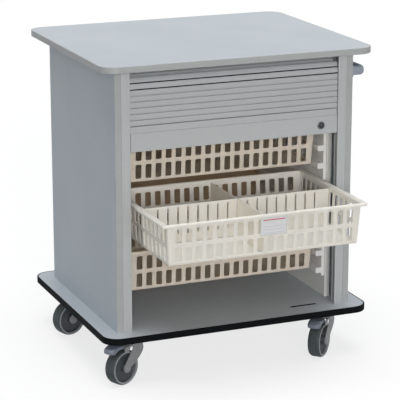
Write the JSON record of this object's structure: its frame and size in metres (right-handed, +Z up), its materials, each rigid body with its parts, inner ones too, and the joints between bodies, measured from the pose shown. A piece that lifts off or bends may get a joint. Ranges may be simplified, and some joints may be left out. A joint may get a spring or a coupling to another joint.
{
  "type": "mobile basket storage trolley",
  "caption": "Mobile storage cabinet on swivel casters, the front two braked, with a slatted roller shutter, perforated pull-out baskets on side ledges, a laminate worktop and a side push handle.",
  "frame": {"origin": "on the floor, under the middle of the box round the trolley with its middle basket pulled out", "axes": "+Z up, -Y towards the user at the open front, +X to the right hand side with the push handle"},
  "size_m": [0.8, 0.821, 0.895],
  "materials": {
    "laminate": "pale grey laminate on wood board, fine matt grain",
    "edging": "satin edge strip",
    "bumper": "black ribbed bumper strip",
    "panel": "grey laminate on wood board",
    "profile": "satin anodised extrusion",
    "shutter": "fine matt moulded slats",
    "support": "matt moulded ledges",
    "basket": "cream moulded plastic, satin",
    "lock_metal": "nickel plate",
    "label_pocket": "clear card pocket",
    "card": "blank coated card",
    "handle": "satin moulded grip",
    "zinc_steel": "zinc plated",
    "caster_fork": "grey glass-filled nylon",
    "wheel_rim": "grey moulded wheel centre",
    "tyre": "grey soft tread"
  },
  "bodies": {
    "cabinet": {"worktop": "laminate", "worktop_edging": "edging", "base_board": "laminate", "base_bumper": "bumper", "left_side_panel": "panel", "right_side_panel": "panel", "left_front_jamb": "profile", "right_front_jamb": "profile", "left_lining": "panel", "right_lining": "panel", "left_support_panel": "support", "right_support_panel": "support", "left_shutter_track": "profile", "right_shutter_track": "profile", "back_panel": "panel", "stored_curtain": "shutter", "handle_bar": "handle", "handle_front_foot": "handle", "handle_rear_foot": "handle", "front_left_caster_plate": "zinc_steel", "front_right_caster_plate": "zinc_steel", "rear_left_caster_plate": "zinc_steel", "rear_right_caster_plate": "zinc_steel"},
    "shutter": {"shutter_rail": "shutter", "shutter_curtain": "shutter", "lock_barrel": "lock_metal"},
    "lock": {"lock_plug": "lock_metal", "lock_cam": "lock_metal"},
    "top_basket": {"top_basket": "basket"},
    "middle_basket": {"middle_basket": "basket", "cross_divider": "basket", "long_divider": "basket", "label_holder": "label_pocket", "label_card": "card"},
    "bottom_basket": {"bottom_basket": "basket"},
    "front_left_swivel": {"front_left_fork": "caster_fork", "front_left_axle": "zinc_steel"},
    "front_left_wheel": {"front_left_wheel_rim": "wheel_rim", "front_left_tyre": "tyre"},
    "front_left_brake": {"front_left_brake_pedal": "caster_fork"},
    "front_right_swivel": {"front_right_fork": "caster_fork", "front_right_axle": "zinc_steel"},
    "front_right_wheel": {"front_right_wheel_rim": "wheel_rim", "front_right_tyre": "tyre"},
    "front_right_brake": {"front_right_brake_pedal": "caster_fork"},
    "rear_left_swivel": {"rear_left_fork": "caster_fork", "rear_left_axle": "zinc_steel"},
    "rear_left_wheel": {"rear_left_wheel_rim": "wheel_rim", "rear_left_tyre": "tyre"},
    "rear_right_swivel": {"rear_right_fork": "caster_fork", "rear_right_axle": "zinc_steel"},
    "rear_right_wheel": {"rear_right_wheel_rim": "wheel_rim", "rear_right_tyre": "tyre"}
  },
  "joints": [
    {"name": "shutter_slide", "type": "slide", "parent": "cabinet", "child": "shutter", "axis": [0, 0, 1], "range_m": [-0.13, 0]},
    {"name": "lock_turn", "type": "hinge", "parent": "shutter", "child": "lock", "pos_m": [0.258, -0.1895, 0.675], "axis": [0, -1, 0], "range_deg": [0, 55]},
    {"name": "top_basket_slide", "type": "slide", "parent": "cabinet", "child": "top_basket", "axis": [0, -1, 0], "range_m": [0, 0.05]},
    {"name": "middle_basket_slide", "type": "slide", "parent": "cabinet", "child": "middle_basket", "axis": [0, -1, 0], "range_m": [-0.292, 0]},
    {"name": "bottom_basket_slide", "type": "slide", "parent": "cabinet", "child": "bottom_basket", "axis": [0, -1, 0], "range_m": [0, 0.292]},
    {"name": "front_left_swivel_turn", "type": "hinge", "parent": "cabinet", "child": "front_left_swivel", "pos_m": [-0.311, -0.1915, 0.1], "axis": [0, 0, 1], "continuous": true},
    {"name": "front_left_wheel_roll", "type": "hinge", "parent": "front_left_swivel", "child": "front_left_wheel", "pos_m": [-0.34363, -0.20671, 0.05], "axis": [0.4226, -0.9063, 0], "continuous": true},
    {"name": "front_left_brake_press", "type": "hinge", "parent": "front_left_swivel", "child": "front_left_brake", "pos_m": [-0.34363, -0.20671, 0.1055], "axis": [0.4226, -0.9063, 0], "range_deg": [0, 22]},
    {"name": "front_right_swivel_turn", "type": "hinge", "parent": "cabinet", "child": "front_right_swivel", "pos_m": [0.281, -0.1915, 0.1], "axis": [0, 0, 1], "continuous": true},
    {"name": "front_right_wheel_roll", "type": "hinge", "parent": "front_right_swivel", "child": "front_right_wheel", "pos_m": [0.2551, -0.21651, 0.05], "axis": [0.6947, -0.7193, 0], "continuous": true},
    {"name": "front_right_brake_press", "type": "hinge", "parent": "front_right_swivel", "child": "front_right_brake", "pos_m": [0.2551, -0.21651, 0.1055], "axis": [0.6947, -0.7193, 0], "range_deg": [0, 22]},
    {"name": "rear_left_swivel_turn", "type": "hinge", "parent": "cabinet", "child": "rear_left_swivel", "pos_m": [-0.311, 0.2505, 0.1], "axis": [0, 0, 1], "continuous": true},
    {"name": "rear_left_wheel_roll", "type": "hinge", "parent": "rear_left_swivel", "child": "rear_left_wheel", "pos_m": [-0.34543, 0.23997, 0.05], "axis": [0.2924, -0.9563, 0], "continuous": true},
    {"name": "rear_right_swivel_turn", "type": "hinge", "parent": "cabinet", "child": "rear_right_swivel", "pos_m": [0.281, 0.2505, 0.1], "axis": [0, 0, 1], "continuous": true},
    {"name": "rear_right_wheel_roll", "type": "hinge", "parent": "rear_right_swivel", "child": "rear_right_wheel", "pos_m": [0.25116, 0.23037, 0.05], "axis": [0.5592, -0.829, 0], "continuous": true}
  ]
}
